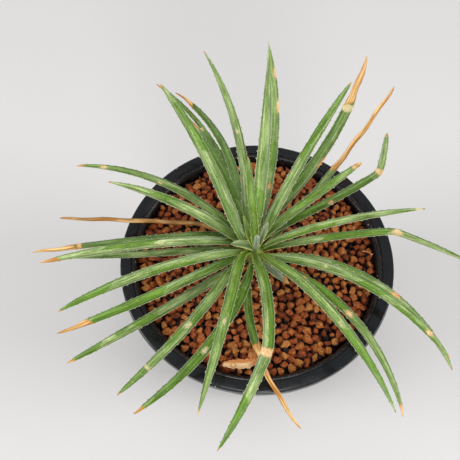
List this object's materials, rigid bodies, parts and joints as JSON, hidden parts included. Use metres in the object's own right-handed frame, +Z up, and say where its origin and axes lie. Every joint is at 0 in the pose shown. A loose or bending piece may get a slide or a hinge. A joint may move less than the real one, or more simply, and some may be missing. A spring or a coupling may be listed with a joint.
{
  "type": "potted dyckia",
  "caption": "Small spiny rosette of narrow, channelled leaves with hooked teeth, in a round nursery pot topped with fired-clay granules.",
  "frame": {"origin": "centre of the pot's foot, on the surface that it stands on", "axes": "+Z up, -Y towards the side that the picture looks from, +X to the right as seen from there"},
  "size_m": [0.1922, 0.1805, 0.1671],
  "materials": {
    "pot": "black injection-moulded polypropylene, satin, dusty inside the lip",
    "soil": "dark crumbly potting mix",
    "granules": "unglazed red-brown fired-clay granules, matt and porous",
    "stem": "short fibrous stem, matt",
    "leaf": "stiff green leaf with silvery scales in lengthwise lines, satin",
    "dead_leaf": "dry brown leaf, matt",
    "dry_sheath": "dry cream leaf base, matt and papery"
  },
  "bodies": {
    "root": {"pot": "pot", "potting_mix": "soil", "top_dressing": "granules", "stem": "stem", "heart": "leaf", "leaf_w_dead": "dead_leaf", "leaf_se_stub": "leaf", "leaf_ne_dry": "leaf", "leaf_s_dry": "leaf", "leaf_w_dark": "leaf", "leaf_w_under": "leaf", "leaf_wsw": "leaf", "leaf_nw_dark": "leaf", "leaf_e_upper": "leaf", "leaf_n_curl": "leaf", "leaf_se_under": "leaf", "leaf_nne_dry": "leaf", "leaf_ne_broken": "leaf", "leaf_sw_under": "leaf", "leaf_sw": "leaf", "leaf_wnw_spot": "leaf", "leaf_n_behind": "leaf", "leaf_e_bent": "leaf", "leaf_w_long": "leaf", "leaf_nnw_back": "leaf", "leaf_e_lower": "leaf", "leaf_wsw_long": "leaf", "leaf_n_tall": "leaf", "leaf_ne": "leaf", "leaf_wnw": "leaf", "leaf_ene": "leaf", "leaf_wsw_high": "leaf", "leaf_nne": "leaf", "leaf_se": "leaf", "leaf_nnw": "leaf", "leaf_n_front": "leaf", "leaf_s_left": "leaf", "leaf_s": "leaf", "leaf_n_young": "leaf", "fallen_sheath": "dry_sheath"}
  },
  "joints": []
}
